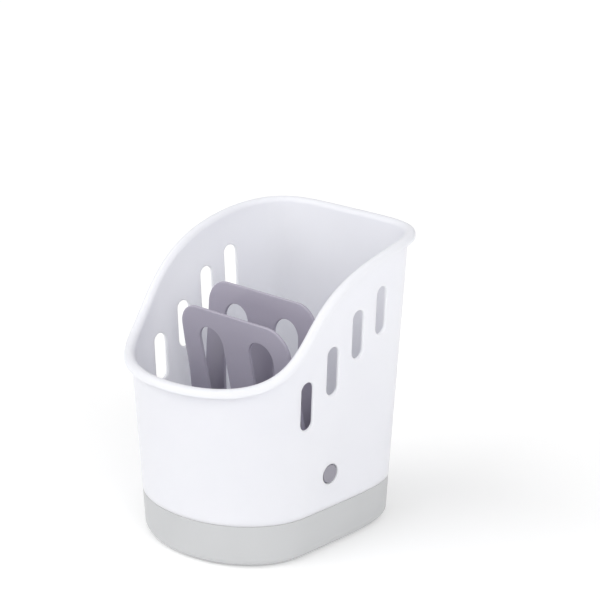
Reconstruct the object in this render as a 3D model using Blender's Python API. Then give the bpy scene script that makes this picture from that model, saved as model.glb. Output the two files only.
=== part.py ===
"""Cleaning caddy: a tall plastic tub with a swept rim that stands in a shallow drip tray,
with a swinging sponge holder carried inside it on two pivot pins.

Front is -Y, +X is the right-hand side, +Z is up.  The origin is on the floor, below the
middle of the object.  Units are metres; MM turns a drawing size into metres.
"""
import math

import bmesh
import bpy
from mathutils import Vector

MM = 0.001

# Plan outline of the outer wall: half an ellipse in front, a squarer curve behind.
# Each size is the value at z = 0 and grows with height by its draft.
HALF_WIDTH, SIDE_DRAFT = 60.0, 0.0463
FRONT_REACH, FRONT_DRAFT = 73.0, 0.058
BACK_REACH, BACK_DRAFT = 68.5, 0.060
WIDEST_Y = -24.2
FRONT_POWER, BACK_POWER = 2.04, 4.9
PLAN_STEPS = 36            # segments on each half of the outline
CORNER_WEIGHT = 25.0       # extra share of the segments given to the tight curves

# Rim: the side view of its top edge is one Bezier sweep, low in front and high behind.
RIM_SWEEP = ((-80.0, 113.6), (-9.0, 116.0), (-56.0, 180.0), (80.0, 185.2))
LIP_OUT, LIP_DROP, LIP_SKIRT = 4.4, 4.8, 1.7
LIP_STEPS = 6

# Basket shell
WALL = 2.4
SHOULDER_Z = 27.55
SHOULDER_BREAK = 0.4
NEST_IN = 2.8              # how far the skirt inside the tray is set in
SKIRT_BOTTOM_Z, FLOOR_Z = 13.8, 16.0
SKIRT_ROUND, INNER_ROUND = 3.0, 3.0
DRAIN_R, DRAIN_PITCH_X, DRAIN_PITCH_Y = 3.5, 18.0, 16.0

# Four upright slots in each side, stepping up towards the back
SLOT_FIRST_Y, SLOT_PITCH = -26.0, 20.6
SLOT_CENTRES_Z = (98.4, 115.0, 132.7, 142.8)
SLOT_LENGTH, SLOT_WIDTH, SLOT_ROUND = 29.8, 9.5, 1.0

# Drip tray
TRAY_UNDER_Z, TRAY_FLOOR_Z, TRAY_TOP_Z = 0.8, 3.2, 27.2
TRAY_WALL, TRAY_FOOT_IN, TRAY_FOOT_UP = 2.4, 5.0, 5.2
TRAY_EDGE = 0.8
RIB_TOP_Z, RIB_THICK, RIB_XS = 9.5, 2.0, (-28.0, 0.0, 28.0)
RIB_FRONT_Y, RIB_BACK_Y = -48.0, 44.0

# Non-slip feet
FOOT_R, FOOT_HEIGHT, FOOT_SINK = 6.0, 1.4, 0.8
FOOT_SPOTS = {
    "foot_front_right": (34.0, -42.0),
    "foot_front_left": (-34.0, -42.0),
    "foot_back_right": (40.0, 46.0),
    "foot_back_left": (-40.0, 46.0),
}

# Pivot of the sponge holder and its two pins
PIVOT_Y, PIVOT_Z = -4.1, 49.5
HOLDER_LEAN_DEG = 4.9      # how far the holder leans to the front as it stands
PIN_HOLE_R, PIN_HEAD_R, PIN_PLUG_R, PIN_BORE_R = 6.3, 5.6, 4.0, 4.3
PIN_FACE_X, PIN_HEAD_X, PIN_END_X = 62.0, 59.4, 49.8
BOSS_END_X, BOSS_START_X, BORE_END_X = 59.0, 46.2, 49.0

# Sponge holder: one sheet with slots, folded up round a trough
SHEET = 2.0
TROUGH_R = 7.0
CHANNEL = 23.0             # straight run above the trough on each side
BEND = 14.0                # length of the soft bend where the panels open out
OPEN_DEG = 6.5
FRONT_TOP, REAR_TOP = 101.3, 108.7     # sheet length from the trough's bottom to each top
HALF_SHEET_LOW, HALF_SHEET_TOP = 50.6, 46.3
PANEL_CORNER_R = 16.0
PANEL_SLOT_X, PANEL_SLOT_R = 21.4, 10.15
PANEL_SLOT_LOW, PANEL_SLOT_BELOW_TOP = 24.0, 12.1
CURL_R, CURL_TURN, CURL_EXTRA = 8.0, 0.5, 0.8      # side margins curl inwards by CURL_TURN
CURL_LOW, CURL_FULL = 36.0, 55.0       # sheet lengths where the curl starts and is full
CURL_BELOW_TOP, CURL_FADE = 14.0, 28.0
WEB_OUT, WEB_LOW, WEB_TOP = 49.3, 17.0, 44.0       # scooped webs that close the ends


def material(name, colour, roughness):
    """A plain plastic: colour in linear RGB."""
    mat = bpy.data.materials.new(name)
    mat.use_nodes = True
    shader = mat.node_tree.nodes["Principled BSDF"]
    shader.inputs["Base Color"].default_value = (*colour, 1.0)
    shader.inputs["Roughness"].default_value = roughness
    shader.inputs["Metallic"].default_value = 0.0
    return mat


def add_object(name, bm, mat=None, sharp_deg=35.0):
    """Turn a bmesh in millimetres into an object in metres, faces out and shaded smooth."""
    bmesh.ops.recalc_face_normals(bm, faces=bm.faces)
    bmesh.ops.scale(bm, vec=(MM, MM, MM), verts=bm.verts)
    mesh = bpy.data.meshes.new(name)
    bm.to_mesh(mesh)
    bm.free()
    obj = bpy.data.objects.new(name, mesh)
    bpy.context.scene.collection.objects.link(obj)
    if mat is not None:
        mesh.materials.append(mat)
    mesh.shade_smooth()
    mesh.set_sharp_from_angle(angle=math.radians(sharp_deg))
    return obj


def combine(target, tools, operation):
    """Apply boolean tools one after another to the target, then throw the tools away."""
    for tool in tools:
        tool.hide_render = True
        tool.display_type = "WIRE"
        step = target.modifiers.new("cut", "BOOLEAN")
        step.operation = operation
        step.solver = "EXACT"
        step.object = tool
        bpy.context.view_layer.update()
        graph = bpy.context.evaluated_depsgraph_get()
        result = bpy.data.meshes.new_from_object(target.evaluated_get(graph))
        target.modifiers.clear()
        old = target.data
        target.data = result
        bpy.data.meshes.remove(old)
        bpy.data.objects.remove(tool)
    target.data.set_sharp_from_angle(angle=math.radians(35.0))
    return target


# ---------------------------------------------------------------- plan outline

def plan_point(turn, z, offset=0.0):
    """Point of the right-hand half outline at height z, moved out by offset.

    turn runs from 0 at the front centre through 1 at the widest place to 2 at the back.
    """
    half = HALF_WIDTH + SIDE_DRAFT * z
    if turn <= 1.0:
        reach = FRONT_REACH + WIDEST_Y + FRONT_DRAFT * z
        power, angle, sign = FRONT_POWER, (1.0 - turn) * math.pi / 2, -1.0
    else:
        reach = BACK_REACH - WIDEST_Y + BACK_DRAFT * z
        power, angle, sign = BACK_POWER, (turn - 1.0) * math.pi / 2, 1.0
    across = max(math.cos(angle), 0.0) ** (2.0 / power)
    along = max(math.sin(angle), 0.0) ** (2.0 / power)
    normal = Vector((across ** (power - 1) / half, sign * along ** (power - 1) / reach))
    normal.normalize()
    point = Vector((half * across, WIDEST_Y + sign * reach * along))
    return point + normal * offset


def plan_turns(steps):
    """Values of turn that space the outline evenly, closer together in tight curves."""
    fine = [2.0 * i / 4000 for i in range(4001)]
    points = [plan_point(t, 90.0) for t in fine]
    run = [0.0]
    heading = None
    for before, after in zip(points, points[1:]):
        step = after - before
        new = math.atan2(step.y, step.x)
        bend = 0.0 if heading is None else abs(new - heading)
        heading = new
        run.append(run[-1] + step.length + CORNER_WEIGHT * min(bend, 0.5))
    turns = []
    at = 0
    for i in range(steps + 1):
        goal = run[-1] * i / steps
        while at < 4000 and run[at] < goal:
            at += 1
        turns.append(fine[at])
    turns[0], turns[-1] = 0.0, 2.0
    return turns


def rim_height(y):
    """Height of the rim's top edge above the floor at depth y."""
    low, high = 0.0, 1.0
    (y0, z0), (y1, z1), (y2, z2), (y3, z3) = RIM_SWEEP
    y = min(max(y, y0), y3)
    for _ in range(40):
        t = (low + high) / 2
        at = y0 * (1 - t) ** 3 + 3 * y1 * t * (1 - t) ** 2 + 3 * y2 * t * t * (1 - t) + y3 * t ** 3
        low, high = (t, high) if at < y else (low, t)
    return z0 * (1 - t) ** 3 + 3 * z1 * t * (1 - t) ** 2 + 3 * z2 * t * t * (1 - t) + z3 * t ** 3


def rim_columns(turns):
    """For each turn: the rim's height there, and how much its slope stretches the lip."""
    heights = []
    for turn in turns:
        z = 150.0
        for _ in range(8):
            z = rim_height(plan_point(turn, z).y)
        heights.append(z)
    stretches = []
    for i in range(len(turns)):
        a, b = max(i - 1, 0), min(i + 1, len(turns) - 1)
        run = (plan_point(turns[b], heights[b]) - plan_point(turns[a], heights[a])).length
        slope = (heights[b] - heights[a]) / run
        stretches.append(math.sqrt(1.0 + slope * slope))
    return heights, stretches


def loft(bm, turns, columns):
    """Skin a closed body from columns of (offset, z) pairs, one column for each turn.

    Every column starts at the rim of the underside and ends at the rim of the floor;
    both are closed with a flat face.  The left half mirrors the right half.
    """
    rows = len(columns[0])
    rings = []
    for row in range(rows):
        ring = []
        for turn, column in zip(turns, columns):
            offset, z = column[row]
            point = plan_point(turn, z, offset)
            ring.append(bm.verts.new((point.x if 0.0 < turn < 2.0 else 0.0, point.y, z)))
        for right in reversed(ring[1:-1]):
            ring.append(bm.verts.new((-right.co.x, right.co.y, right.co.z)))
        rings.append(ring)
    count = len(rings[0])
    for lower, upper in zip(rings, rings[1:]):
        for i in range(count):
            j = (i + 1) % count
            bm.faces.new((lower[i], lower[j], upper[j], upper[i]))
    bm.faces.new(list(reversed(rings[0])))
    bm.faces.new(rings[-1])


# ---------------------------------------------------------------- small solids

def prism(sections):
    """Closed solid through equal loops of points."""
    bm = bmesh.new()
    loops = [[bm.verts.new(p) for p in section] for section in sections]
    count = len(loops[0])
    for lower, upper in zip(loops, loops[1:]):
        for i in range(count):
            j = (i + 1) % count
            bm.faces.new((lower[i], lower[j], upper[j], upper[i]))
    bm.faces.new(list(reversed(loops[0])))
    bm.faces.new(loops[-1])
    return bm


def stadium(length, width, steps=8):
    """Upright stadium outline (a, b), with round ends above and below."""
    r = width / 2
    straight = length / 2 - r
    points = []
    for i in range(steps + 1):
        angle = math.pi * i / steps
        points.append((r * math.cos(angle), straight + r * math.sin(angle)))
    for i in range(steps + 1):
        angle = math.pi * i / steps
        points.append((-r * math.cos(angle), -straight - r * math.sin(angle)))
    return points


def box(low, high):
    (x0, y0, z0), (x1, y1, z1) = low, high
    corners = ((x0, y0), (x1, y0), (x1, y1), (x0, y1))
    return prism([[(x, y, z) for x, y in corners] for z in (z0, z1)])


def turned(profile, steps=32):
    """Solid of revolution about X from (x, radius) pairs between its two flat ends."""
    sections = []
    for x, r in profile:
        ring = []
        for i in range(steps):
            angle = 2 * math.pi * i / steps
            ring.append((x, r * math.cos(angle), r * math.sin(angle)))
        sections.append(ring)
    return prism(sections)


def wall_frame(y, z):
    """Outer-wall point at (y, z) on the right side, its outward normal and upright axis."""
    def at(yy, zz):
        low, high = 0.0, 2.0
        for _ in range(50):
            mid = (low + high) / 2
            low, high = (mid, high) if plan_point(mid, zz).y < yy else (low, mid)
        return Vector((plan_point(low, zz).x, yy, zz))
    centre = at(y, z)
    back = (at(y + 1, z) - at(y - 1, z)).normalized()
    up = (at(y, z + 1) - at(y, z - 1)).normalized()
    return centre, back.cross(up).normalized(), back, up


def wall_cutter(name, y, z, outline_at, rounding, side):
    """Cutter through the side wall whose mouth flares on both faces to round the edge."""
    centre, out, back, up = wall_frame(y, z)
    depths = ((3.0, rounding), (0.0, rounding), (-rounding, 0.0),
              (rounding - WALL, 0.0), (-WALL, rounding), (-WALL - 3.0, rounding))
    sections = []
    for depth, grow in depths:
        section = []
        for a, b in outline_at(grow):
            p = centre + out * depth + back * a + up * b
            section.append((p.x * side, p.y, p.z))
        sections.append(section)
    return add_object(name, prism(sections))


# ---------------------------------------------------------------- sub-parts

def shell_column(height, stretch):
    """One column of the basket shell, from its underside over the lip to its floor."""
    column = []
    for i in range(3):
        angle = math.pi / 2 * i / 2
        column.append((-NEST_IN - SKIRT_ROUND * (1 - math.sin(angle)),
                       SKIRT_BOTTOM_Z + SKIRT_ROUND * (1 - math.cos(angle))))
    column.append((-NEST_IN, SHOULDER_Z))
    column.append((-SHOULDER_BREAK, SHOULDER_Z))
    column.append((0.0, SHOULDER_Z + SHOULDER_BREAK))
    root = height - 3.4 * stretch
    column.append((0.0, (SHOULDER_Z + root) / 2))
    column.append((0.0, root))
    column.append((0.6, height - 2.4 * stretch))
    column.append((LIP_OUT - LIP_SKIRT - 0.5, height - 2.4 * stretch))
    column.append((LIP_OUT - LIP_SKIRT, height - 3.4 * stretch))
    column.append((LIP_OUT - LIP_SKIRT + 0.3, height - LIP_DROP * stretch))
    column.append((LIP_OUT - 0.4, height - LIP_DROP * stretch))
    radius = (LIP_OUT + WALL) / 2
    for i in range(LIP_STEPS + 1):
        angle = math.pi * i / LIP_STEPS
        column.append((LIP_OUT - radius + radius * math.cos(angle),
                       height - radius * stretch * (1 - math.sin(angle))))
    ledge = SHOULDER_Z + 4.0
    column.append((-WALL, (ledge + height) / 2))
    column.append((-WALL, ledge))
    inner = NEST_IN + WALL
    column.append((-inner, SHOULDER_Z + 1.2))
    for i in range(3):
        angle = math.pi / 2 * i / 2
        column.append((-inner - INNER_ROUND * (1 - math.cos(angle)),
                       FLOOR_Z + INNER_ROUND * (1 - math.sin(angle))))
    return column


def drain_spots():
    """Centres of the floor's drain holes: staggered rows that stay clear of the wall."""
    spots = []
    for row in range(-3, 5):
        y = row * DRAIN_PITCH_Y - 6.0
        shift = DRAIN_PITCH_X / 2 if row % 2 else 0.0
        for k in range(-3, 4):
            x = k * DRAIN_PITCH_X + shift
            if inside_floor(x, y, DRAIN_R + 4.0):
                spots.append((x, y))
    return spots


def inside_floor(x, y, margin):
    """True where (x, y) lies inside the floor with the margin to spare."""
    inset = NEST_IN + WALL + INNER_ROUND + margin
    half = HALF_WIDTH - inset
    reach = FRONT_REACH + WIDEST_Y - inset if y < WIDEST_Y else BACK_REACH - WIDEST_Y - inset
    power = FRONT_POWER if y < WIDEST_Y else BACK_POWER
    return abs(x / half) ** power + abs((y - WIDEST_Y) / reach) ** power < 1.0


def make_basket(mat):
    turns = plan_turns(PLAN_STEPS)
    heights, stretches = rim_columns(turns)
    bm = bmesh.new()
    loft(bm, turns, [shell_column(h, s) for h, s in zip(heights, stretches)])
    shell = add_object("basket_shell", bm, mat)
    tools = []
    for side in (1, -1):
        for i, z in enumerate(SLOT_CENTRES_Z):
            y = SLOT_FIRST_Y + i * SLOT_PITCH
            tools.append(wall_cutter(
                "slot_cutter", y, z,
                lambda grow: stadium(SLOT_LENGTH + 2 * grow, SLOT_WIDTH + 2 * grow),
                SLOT_ROUND, side))
        tools.append(wall_cutter(
            "pin_hole_cutter", PIVOT_Y, PIVOT_Z,
            lambda grow: stadium(2 * (PIN_HOLE_R + grow), 2 * (PIN_HOLE_R + grow) - 0.02, 14),
            0.5, side))
    for x, y in drain_spots():
        ring = [(x + DRAIN_R * math.cos(math.pi * i / 6), y + DRAIN_R * math.sin(math.pi * i / 6))
                for i in range(12)]
        tools.append(add_object("drain_cutter", prism(
            [[(a, b, z) for a, b in ring] for z in (SKIRT_BOTTOM_Z - 2, FLOOR_Z + 2)])))
    return combine(shell, tools, "DIFFERENCE")


def tray_column():
    """One column of the drip tray, from its underside over the edge to its floor."""
    column = []
    for i in range(5):
        angle = math.pi / 2 * i / 4
        column.append((-TRAY_FOOT_IN * (1 - math.sin(angle)),
                       TRAY_UNDER_Z + TRAY_FOOT_UP * (1 - math.cos(angle))))
    for i in range(3):
        angle = math.pi / 2 * i / 2
        column.append((-TRAY_EDGE * (1 - math.cos(angle)),
                       TRAY_TOP_Z - TRAY_EDGE * (1 - math.sin(angle))))
    column.append((-TRAY_WALL, TRAY_TOP_Z))
    for i in range(3):
        angle = math.pi / 2 * i / 2
        column.append((-TRAY_WALL - 4.0 * (1 - math.cos(angle)),
                       TRAY_FLOOR_Z + 4.0 * (1 - math.sin(angle))))
    return column


def make_tray(mat):
    turns = plan_turns(PLAN_STEPS)
    bm = bmesh.new()
    loft(bm, turns, [tray_column() for _ in turns])
    tray = add_object("drip_tray", bm, mat)
    ribs = []
    for x in RIB_XS:
        ribs.append(add_object("rib", box((x - RIB_THICK / 2, RIB_FRONT_Y, TRAY_FLOOR_Z - 0.7),
                                          (x + RIB_THICK / 2, RIB_BACK_Y, RIB_TOP_Z))))
    combine(tray, ribs, "UNION")
    pockets = []
    for x, y in FOOT_SPOTS.values():
        r = FOOT_R + 0.3
        ring = [(x + r * math.cos(math.pi * i / 12), y + r * math.sin(math.pi * i / 12))
                for i in range(24)]
        pockets.append(add_object("pocket", prism(
            [[(a, b, z) for a, b in ring] for z in (TRAY_UNDER_Z - 1, TRAY_UNDER_Z + FOOT_SINK)])))
    return combine(tray, pockets, "DIFFERENCE")


def make_feet(mat):
    feet = []
    for name, (x, y) in FOOT_SPOTS.items():
        sections = []
        for z, r in ((0.0, FOOT_R - 0.4), (0.4, FOOT_R), (FOOT_HEIGHT, FOOT_R)):
            sections.append([(r * math.cos(math.pi * i / 12), r * math.sin(math.pi * i / 12), z)
                             for i in range(24)])
        foot = add_object(name, prism(sections), mat)
        foot.location = (x * MM, y * MM, 0.0)
        feet.append(foot)
    return feet


def curl_turn(s):
    """Angle by which the side margins are turned in, fading out at their top and bottom."""
    top = FRONT_TOP if s < 0 else REAR_TOP
    low = min(max((abs(s) - CURL_LOW) / (CURL_FULL - CURL_LOW), 0.0), 1.0)
    high = min(max((top - CURL_BELOW_TOP - abs(s)) / CURL_FADE, 0.0), 1.0)
    return CURL_TURN * low * low * (3 - 2 * low) * high * high * (3 - 2 * high)


def half_width(s):
    """Half the width of the flat sheet at s: it tapers, and is wider where it curls."""
    side_end = (FRONT_TOP if s < 0 else REAR_TOP) - PANEL_CORNER_R
    base = HALF_SHEET_LOW + (HALF_SHEET_TOP - HALF_SHEET_LOW) * min(abs(s) / side_end, 1.0)
    return base + CURL_EXTRA * curl_turn(s) / CURL_TURN


def fold(x, s, depth):
    """Place a point of the flat sheet on the folded holder.

    s is the distance along the outside of the sheet from the bottom of the trough, minus
    to the front and plus to the rear; depth is the distance inwards from the outside.
    Returns x, then the distance to the rear and the height, both from the pivot.
    """
    crease = half_width(s) - CURL_R * curl_turn(s)
    if abs(x) > crease:
        curled = (abs(x) - crease) / CURL_R
        x = math.copysign(crease + (CURL_R - depth) * math.sin(curled), x)
        depth = CURL_R - (CURL_R - depth) * math.cos(curled)
    side = -1.0 if s < 0 else 1.0
    run = abs(s)
    quarter = TROUGH_R * math.pi / 2
    opening = math.radians(OPEN_DEG)
    radius = BEND / opening
    if run <= quarter:
        angle = run / TROUGH_R
        reach = TROUGH_R - depth
        return x, side * reach * math.sin(angle), -reach * math.cos(angle)
    run -= quarter
    if run <= CHANNEL:
        return x, side * (TROUGH_R - depth), run
    run -= CHANNEL
    heading = min(run / BEND, 1.0) * opening
    out = TROUGH_R + radius * (1 - math.cos(heading))
    up = CHANNEL + radius * math.sin(heading)
    beyond = max(run - BEND, 0.0)
    out += beyond * math.sin(heading)
    up += beyond * math.cos(heading)
    return x, side * (out - depth * math.cos(heading)), up + depth * math.sin(heading)


def sheet_outline():
    """Outline of the flat sheet in (x, s): two tapered panels with rounded outer corners."""
    r = PANEL_CORNER_R
    right = []
    for sign, top in ((-1, FRONT_TOP), (1, REAR_TOP)):
        outline = []
        for i in range(9):
            angle = math.pi / 2 * i / 8
            outline.append((HALF_SHEET_TOP - r + r * math.sin(angle),
                            sign * (top - r + r * math.cos(angle))))
        for i in range(1, 9):
            s = top - r + (CURL_LOW - top + r) * i / 8
            outline.append((half_width(sign * s), sign * s))
        right += outline if sign < 0 else outline[::-1]
    return right + [(-x, s) for x, s in reversed(right)]


def make_holder(mat):
    """The sponge holder, modelled about its pivot and leant to the front."""
    outline = sheet_outline()
    edge = 0.5
    sections = []
    for depth, inset in ((0.0, edge), (edge, 0.0), (SHEET - edge, 0.0), (SHEET, edge)):
        section = []
        for x, s in outline:
            top = FRONT_TOP if s < 0 else REAR_TOP
            section.append((x * (1 - inset / HALF_SHEET_TOP), s * (1 - inset / top), depth))
        sections.append(section)
    holder = add_object("sponge_holder", prism(sections), mat)
    tools = []
    for sign, top in ((-1, FRONT_TOP), (1, REAR_TOP)):
        for x in (-PANEL_SLOT_X, PANEL_SLOT_X):
            upper = top - PANEL_SLOT_BELOW_TOP
            length = upper - PANEL_SLOT_LOW
            middle = sign * (upper + PANEL_SLOT_LOW) / 2
            loop = stadium(length, 2 * PANEL_SLOT_R, 10)
            tools.append(add_object("panel_slot", prism(
                [[(x + a, middle + b, d) for a, b in loop] for d in (-1.0, SHEET + 1.0)])))
    for x in (-26.0, 0.0, 26.0):
        loop = stadium(14.0, 5.0, 6)
        tools.append(add_object("trough_drain", prism(
            [[(x + b, a, d) for a, b in loop] for d in (-1.0, SHEET + 1.0)])))
    combine(holder, tools, "DIFFERENCE")
    fold_sheet(holder)
    ends = []
    for side in (1, -1):
        ends.append(add_object("end_web", end_web(side)))
        ends.append(add_object("end_boss", turned(
            [(side * BOSS_START_X, TROUGH_R - 0.9), (side * 47.6, TROUGH_R - 0.9),
             (side * 48.2, TROUGH_R - 0.15), (side * (BOSS_END_X - 0.5), TROUGH_R - 0.15),
             (side * BOSS_END_X, TROUGH_R - 0.65)], 28)))
    combine(holder, ends, "UNION")
    bores = []
    for side in (1, -1):
        bores.append(add_object("bore", turned(
            [(side * BORE_END_X, PIN_BORE_R), (side * (BOSS_END_X + 2), PIN_BORE_R)], 28)))
    combine(holder, bores, "DIFFERENCE")
    holder.location = (0.0, PIVOT_Y * MM, PIVOT_Z * MM)
    holder.rotation_euler = (math.radians(HOLDER_LEAN_DEG), 0.0, 0.0)
    return holder


def fold_sheet(holder):
    """Score the flat sheet along its bend lines, then fold it into the holder's shape."""
    quarter = TROUGH_R * math.pi / 2
    lines = [0.0]
    for i in range(1, 5):
        lines += [quarter * i / 4, -quarter * i / 4]
    for extra in (CHANNEL, CHANNEL + BEND / 3, CHANNEL + BEND * 2 / 3, CHANNEL + BEND):
        lines += [quarter + extra, -quarter - extra]
    bm = bmesh.new()
    bm.from_mesh(holder.data)
    for s in lines:
        everything = bm.verts[:] + bm.edges[:] + bm.faces[:]
        bmesh.ops.bisect_plane(bm, geom=everything, dist=1e-7,
                               plane_co=(0, s * MM, 0), plane_no=(0, 1, 0))
    for i in range(1, 6):
        for sign, top in ((-1, FRONT_TOP), (1, REAR_TOP)):
            everything = bm.verts[:] + bm.edges[:] + bm.faces[:]
            at = CURL_LOW + (top - CURL_BELOW_TOP - CURL_LOW) * i / 6
            bmesh.ops.bisect_plane(bm, geom=everything, dist=1e-7,
                                   plane_co=(0, sign * at * MM, 0), plane_no=(0, 1, 0))
    for at in (44.4, 45.4, 46.4, 47.4, 48.4):
        for side in (1, -1):
            everything = bm.verts[:] + bm.edges[:] + bm.faces[:]
            bmesh.ops.bisect_plane(bm, geom=everything, dist=1e-7,
                                   plane_co=(side * at * MM, 0, 0), plane_no=(1, 0, 0))
    for vert in bm.verts:
        x, s, depth = (value / MM for value in vert.co)
        vert.co = Vector(fold(x, s, depth)) * MM
    bm.to_mesh(holder.data)
    bm.free()


def end_web(side):
    """Web that closes one end of the channel, with a scooped top between the panels."""
    outline = []
    mid = TROUGH_R - SHEET / 2
    for i in range(9):
        angle = -math.pi * i / 8
        outline.append((mid * math.cos(angle), mid * math.sin(angle)))
    outline.append((-mid - 0.3, WEB_TOP - 14.0))
    outline.append((-mid - 1.0, WEB_TOP))
    for i in range(1, 8):
        share = -1.0 + 2.0 * i / 8
        outline.append((share * (mid + 0.9), WEB_LOW + (WEB_TOP - WEB_LOW) * share * share))
    outline.append((mid + 1.0, WEB_TOP))
    outline.append((mid + 0.3, WEB_TOP - 14.0))
    sections = []
    for inset in (2.3, 0.3):
        section = []
        for back, up in outline:
            half = WEB_OUT - 0.026 * max(up, 0.0) - inset
            section.append((side * half, back, up))
        sections.append(section)
    return prism(sections)


def make_pins(mat):
    pins = []
    for name, side in (("pivot_pin_right", 1), ("pivot_pin_left", -1)):
        profile = [(PIN_END_X, PIN_PLUG_R - 0.5), (PIN_END_X + 0.5, PIN_PLUG_R),
                   (PIN_HEAD_X, PIN_PLUG_R), (PIN_HEAD_X, PIN_HEAD_R),
                   (PIN_FACE_X - 0.6, PIN_HEAD_R), (PIN_FACE_X - 0.18, PIN_HEAD_R - 0.18),
                   (PIN_FACE_X, PIN_HEAD_R - 0.6), (PIN_FACE_X, PIN_HEAD_R - 1.5),
                   (PIN_FACE_X - 0.25, PIN_HEAD_R - 1.9)]
        pin = add_object(name, turned([(side * x, r) for x, r in profile]), mat)
        pin.location = (0.0, PIVOT_Y * MM, PIVOT_Z * MM)
        pin.rotation_euler = (math.radians(HOLDER_LEAN_DEG), 0.0, 0.0)
        pins.append(pin)
    return pins


def build():
    for old in list(bpy.data.objects):
        bpy.data.objects.remove(old)
    white = material("white_plastic", (0.86, 0.865, 0.885), 0.38)
    light_grey = material("light_grey_plastic", (0.56, 0.565, 0.575), 0.40)
    grey = material("grey_plastic", (0.27, 0.262, 0.30), 0.36)
    rubber = material("foot_rubber", (0.42, 0.42, 0.43), 0.75)
    make_basket(white)
    make_tray(light_grey)
    make_feet(rubber)
    make_holder(grey)
    make_pins(grey)


build()
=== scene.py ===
"""Looks of the cleaning caddy.

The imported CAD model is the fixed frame.  Each node gets a fine surface with rounded edges,
made in the same place, and a procedural plastic.  X is across the caddy, the front is
towards -Y and Z is up.  The drawing sizes are in millimetres, and add_object turns them into
metres.  The sizes in the materials and the camera's place are in metres.
"""
import math

import bmesh
import bpy
from mathutils import Euler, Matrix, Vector


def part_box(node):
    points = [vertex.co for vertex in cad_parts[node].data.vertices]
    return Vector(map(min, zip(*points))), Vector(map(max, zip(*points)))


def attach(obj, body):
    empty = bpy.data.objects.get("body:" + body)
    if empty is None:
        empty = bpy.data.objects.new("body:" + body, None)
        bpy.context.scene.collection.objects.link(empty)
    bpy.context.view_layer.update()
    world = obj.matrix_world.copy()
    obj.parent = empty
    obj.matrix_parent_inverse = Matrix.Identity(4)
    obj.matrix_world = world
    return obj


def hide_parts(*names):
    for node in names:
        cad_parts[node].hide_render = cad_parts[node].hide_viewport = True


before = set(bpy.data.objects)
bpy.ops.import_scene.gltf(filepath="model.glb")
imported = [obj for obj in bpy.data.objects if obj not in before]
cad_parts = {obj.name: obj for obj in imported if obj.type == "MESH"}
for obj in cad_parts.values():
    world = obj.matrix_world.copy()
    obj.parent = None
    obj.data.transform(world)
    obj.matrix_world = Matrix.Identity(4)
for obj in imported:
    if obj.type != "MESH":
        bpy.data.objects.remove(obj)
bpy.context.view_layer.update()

MM = 0.001

# ---------------------------------------------------------------- drawing sizes

# The outline seen from above, at the floor; each draft is its growth for each unit of height.
HALF_WIDTH, SIDE_DRAFT = 60.0, 0.0463
FRONT_REACH, FRONT_DRAFT = 73.0, 0.058
BACK_REACH, BACK_DRAFT = 68.5, 0.060
WIDEST_Y = -24.2
FRONT_POWER, BACK_POWER = 2.04, 4.9    # superellipse powers of the two halves

# The rim: a Bezier curve in (y, z), and the lip rolled over outside it.
RIM_SWEEP = ((-80.0, 113.6), (-9.0, 116.0), (-56.0, 180.0), (80.0, 185.2))
LIP_OUT, LIP_DROP, LIP_SKIRT = 4.4, 4.8, 1.7
LIP_TIP_SQUASH = 0.6                   # height of the skirt's round end over its width
GROOVE_LOW, GROOVE_RISE = 3.6, 1.2     # groove under the lip: its edges' depth and its rise

# The basket's wall, and the skirt that nests in the tray.
WALL = 2.4
SHOULDER_Z, SHOULDER_BREAK = 27.55, 0.2
NEST_IN, NEST_BREAK = 2.8, 0.3
SKIRT_BOTTOM_Z, FLOOR_Z = 13.8, 16.0
SKIRT_ROUND, INNER_ROUND = 3.0, 3.0
LEDGE_ABOVE_SHOULDER, LEDGE_DROP = 4.0, 2.8     # inside, where the wall steps in to the skirt

DRAIN_R, DRAIN_ROUND = 3.5, 0.4
DRAIN_PITCH_X, DRAIN_PITCH_Y = 18.0, 16.0
DRAIN_START_Y, DRAIN_MARGIN = -6.0, 4.0

SLOT_FIRST_Y, SLOT_PITCH = -26.0, 20.6
SLOT_CENTRES_Z = (98.4, 115.0, 132.7, 142.8)
SLOT_LENGTH, SLOT_WIDTH, SLOT_ROUND = 29.8, 9.5, 1.0

# The drip tray, its ribs and its feet.
TRAY_UNDER_Z, TRAY_FLOOR_Z, TRAY_TOP_Z = 0.8, 3.2, 27.45
TRAY_WALL, TRAY_FOOT_IN, TRAY_FOOT_UP, TRAY_EDGE = 2.4, 5.0, 5.2, 0.5
TRAY_INNER_EDGE, TRAY_INNER_ROUND = 0.4, 4.0
RIB_TOP_Z, RIB_THICK, RIB_XS = 9.5, 2.0, (-28.0, 0.0, 28.0)
RIB_FRONT_Y, RIB_BACK_Y = -48.0, 44.0
RIB_SINK, RIB_ROUND = 0.7, 0.7
FOOT_R, FOOT_HEIGHT, FOOT_SINK = 6.0, 1.4, 0.8
FOOT_RING, FOOT_EDGE, FOOT_EDGE_UP, FOOT_TOP_BREAK = 1.6, 0.5, 0.4, 0.2
POCKET_GAP, POCKET_BREAK = 0.3, 0.25   # room around a foot in the tray's underside
POCKET_PAST = 1.0                      # how far the pocket's cutter starts below the tray

# The pivot that carries the sponge holder.
PIVOT_Y, PIVOT_Z, HOLDER_LEAN_DEG = -4.1, 49.5, 4.9
PIN_HOLE_R, PIN_HEAD_R, PIN_PLUG_R, PIN_BORE_R = 6.3, 5.6, 4.0, 4.3
PIN_FACE_X, PIN_HEAD_X, PIN_END_X = 62.0, 59.4, 49.8
PIN_HOLE_ROUND = 0.45
PIN_EDGE, PIN_HEAD_BREAK, PIN_PLUG_BREAK = 0.6, 0.2, 0.5
PIN_DISH = ((1.5, 0.0), (1.62, 0.05), (1.78, 0.2), (1.95, 0.25))  # (in from the rim, depth)

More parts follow.
